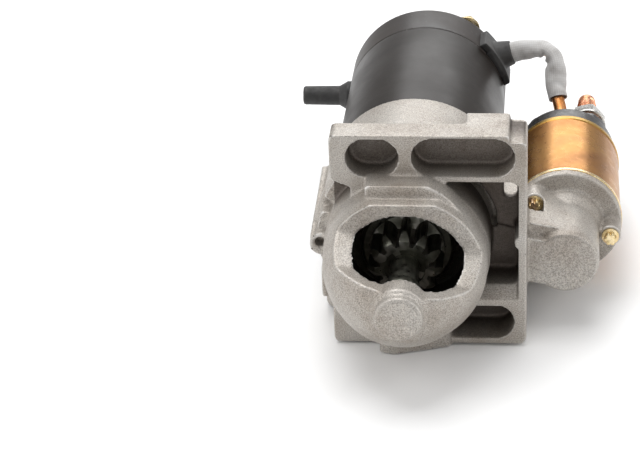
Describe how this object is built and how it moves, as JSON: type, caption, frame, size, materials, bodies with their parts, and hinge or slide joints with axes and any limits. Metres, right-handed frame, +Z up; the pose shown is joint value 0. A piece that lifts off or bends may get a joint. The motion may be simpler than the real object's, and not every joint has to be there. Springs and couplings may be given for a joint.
{
  "type": "starter motor",
  "caption": "Gear-reduction starter motor with an open drive nose, a pocketed mounting bracket and a side-mounted solenoid joined by a sleeved lead.",
  "frame": {"origin": "on the motor and drive axis, in the plane of the bracket's front face", "axes": "+X towards the solenoid, +Y from the nose towards the end cap, +Z up towards the bracket's top pad"},
  "size_m": [0.1342, 0.2205, 0.087],
  "materials": {
    "cast_alloy": "sand-blasted die casting",
    "bronze": "sintered bronze",
    "zinc_steel": "bright zinc plate",
    "yellow_zinc": "yellow zinc plate",
    "black_plastic": "moulded",
    "black_paint": "semi-gloss black enamel",
    "ferrite": "sintered ferrite",
    "brass": "plain",
    "spring_steel": "oiled wire",
    "rubber": "moulded",
    "copper_braid": "flat woven copper",
    "woven_sleeve": "woven glass sleeve",
    "copper_plate": "iridescent bronze chromate",
    "winding_copper": "enamelled wire",
    "copper": "copper",
    "gear_steel": "dark oiled steel",
    "lamination": "laminated steel",
    "carbon": "copper graphite"
  },
  "bodies": {
    "frame": {"drive_end_housing": "cast_alloy", "nose_bushing": "bronze", "center_shield": "zinc_steel", "center_bushing": "bronze", "ring_gear": "black_plastic", "gear_cover": "zinc_steel", "field_frame": "black_paint", "field_magnets": "ferrite", "rear_cover": "black_paint", "rear_bushing": "bronze", "brush_plate": "zinc_steel", "brush_holders": "brass", "brush_springs": "spring_steel", "through_bolts": "yellow_zinc", "brush_plate_screws": "yellow_zinc", "vent_tube": "rubber", "lead_grommet": "rubber", "motor_lead": "copper_braid", "lead_sleeve": "woven_sleeve", "lever_seal": "rubber", "lever_pivot_pin": "zinc_steel", "solenoid_front_plate": "yellow_zinc", "solenoid_case": "copper_plate", "plunger_guide": "brass", "coil_bobbin": "black_plastic", "solenoid_winding": "winding_copper", "solenoid_core": "zinc_steel", "terminal_cap": "black_plastic", "motor_stud": "copper", "battery_stud": "copper", "switch_stud": "zinc_steel", "terminal_nuts": "zinc_steel", "switch_nut": "brass", "solenoid_screws": "yellow_zinc", "plunger_spring": "spring_steel", "contact_spring": "spring_steel"},
    "armature": {"armature_shaft": "gear_steel", "armature_core": "lamination", "armature_winding": "winding_copper", "commutator": "copper"},
    "output": {"output_shaft": "gear_steel", "planet_carrier": "gear_steel", "planet_pins": "gear_steel", "stop_collar": "gear_steel", "snap_ring": "spring_steel"},
    "planet_1": {"planet_gear_1": "gear_steel"},
    "planet_2": {"planet_gear_2": "gear_steel"},
    "planet_3": {"planet_gear_3": "gear_steel"},
    "drive": {"clutch_shell": "gear_steel", "clutch_rollers": "gear_steel", "drive_sleeve": "gear_steel"},
    "pinion": {"pinion_gear": "gear_steel"},
    "lever": {"shift_lever": "black_plastic"},
    "plunger": {"plunger": "zinc_steel"},
    "contact": {"contact_rod": "zinc_steel", "contact_disc": "copper"},
    "brush_a": {"brush_1": "carbon"},
    "brush_b": {"brush_2": "carbon"},
    "brush_c": {"brush_3": "carbon"},
    "brush_d": {"brush_4": "carbon"}
  },
  "joints": [
    {"name": "armature_spin", "type": "hinge", "parent": "frame", "child": "armature", "pos_m": [0, 0, 0], "axis": [0, 1, 0], "continuous": true},
    {"name": "output_spin", "type": "hinge", "parent": "frame", "child": "output", "pos_m": [0, 0, 0], "axis": [0, 1, 0], "continuous": true},
    {"name": "planet_1_spin", "type": "hinge", "parent": "output", "child": "planet_1", "pos_m": [0, 0.06, 0.01485], "axis": [0, 1, 0], "continuous": true},
    {"name": "planet_2_spin", "type": "hinge", "parent": "output", "child": "planet_2", "pos_m": [-0.01286, 0.06, -0.00743], "axis": [0, 1, 0], "continuous": true},
    {"name": "planet_3_spin", "type": "hinge", "parent": "output", "child": "planet_3", "pos_m": [0.01286, 0.06, -0.00743], "axis": [0, 1, 0], "continuous": true},
    {"name": "plunger_slide", "type": "slide", "parent": "frame", "child": "plunger", "axis": [0, 1, 0], "range_m": [0, 0.011], "stiffness_N_per_m": 900, "springref_m": -0.012, "deforming": ["plunger_spring"]},
    {"name": "lever_swing", "type": "hinge", "parent": "frame", "child": "lever", "pos_m": [0.03541, 0.0326, -0.00651], "axis": [0.1809, 0, 0.9835], "range_deg": [0, 26.2]},
    {"name": "drive_slide", "type": "slide", "parent": "output", "child": "drive", "axis": [0, -1, 0], "range_m": [0, 0.0163]},
    {"name": "pinion_overrun", "type": "hinge", "parent": "drive", "child": "pinion", "pos_m": [0, 0, 0], "axis": [0, 1, 0], "continuous": true},
    {"name": "contact_slide", "type": "slide", "parent": "frame", "child": "contact", "axis": [0, 1, 0], "range_m": [0, 0.00201], "deforming": ["contact_spring"]},
    {"name": "brush_1_slide", "type": "slide", "parent": "frame", "child": "brush_a", "axis": [0.9092, 0, 0.4163], "range_m": [0, 0.0015], "stiffness_N_per_m": 300, "springref_m": -0.015, "deforming": ["brush_springs"]},
    {"name": "brush_2_slide", "type": "slide", "parent": "frame", "child": "brush_b", "axis": [0.0941, 0, 0.9956], "range_m": [0, 0.0015], "stiffness_N_per_m": 300, "springref_m": -0.015, "deforming": ["brush_springs"]},
    {"name": "brush_3_slide", "type": "slide", "parent": "frame", "child": "brush_c", "axis": [-0.9092, 0, -0.4163], "range_m": [0, 0.0015], "stiffness_N_per_m": 300, "springref_m": -0.015, "deforming": ["brush_springs"]},
    {"name": "brush_4_slide", "type": "slide", "parent": "frame", "child": "brush_d", "axis": [-0.0941, 0, -0.9956], "range_m": [0, 0.0015], "stiffness_N_per_m": 300, "springref_m": -0.015, "deforming": ["brush_springs"]}
  ],
  "couplings": [
    {"joint": "output_spin", "follows": "armature_spin", "ratio": 0.22222},
    {"joint": "planet_1_spin", "follows": "armature_spin", "ratio": -0.62222},
    {"joint": "planet_2_spin", "follows": "armature_spin", "ratio": -0.62222},
    {"joint": "planet_3_spin", "follows": "armature_spin", "ratio": -0.62222},
    {"joint": "lever_swing", "follows": "plunger_slide", "rad_per_m": 41.485},
    {"joint": "drive_slide", "follows": "plunger_slide", "ratio": 1.4805},
    {"joint": "contact_slide", "follows": "plunger_slide", "ratio": 0.18182}
  ]
}
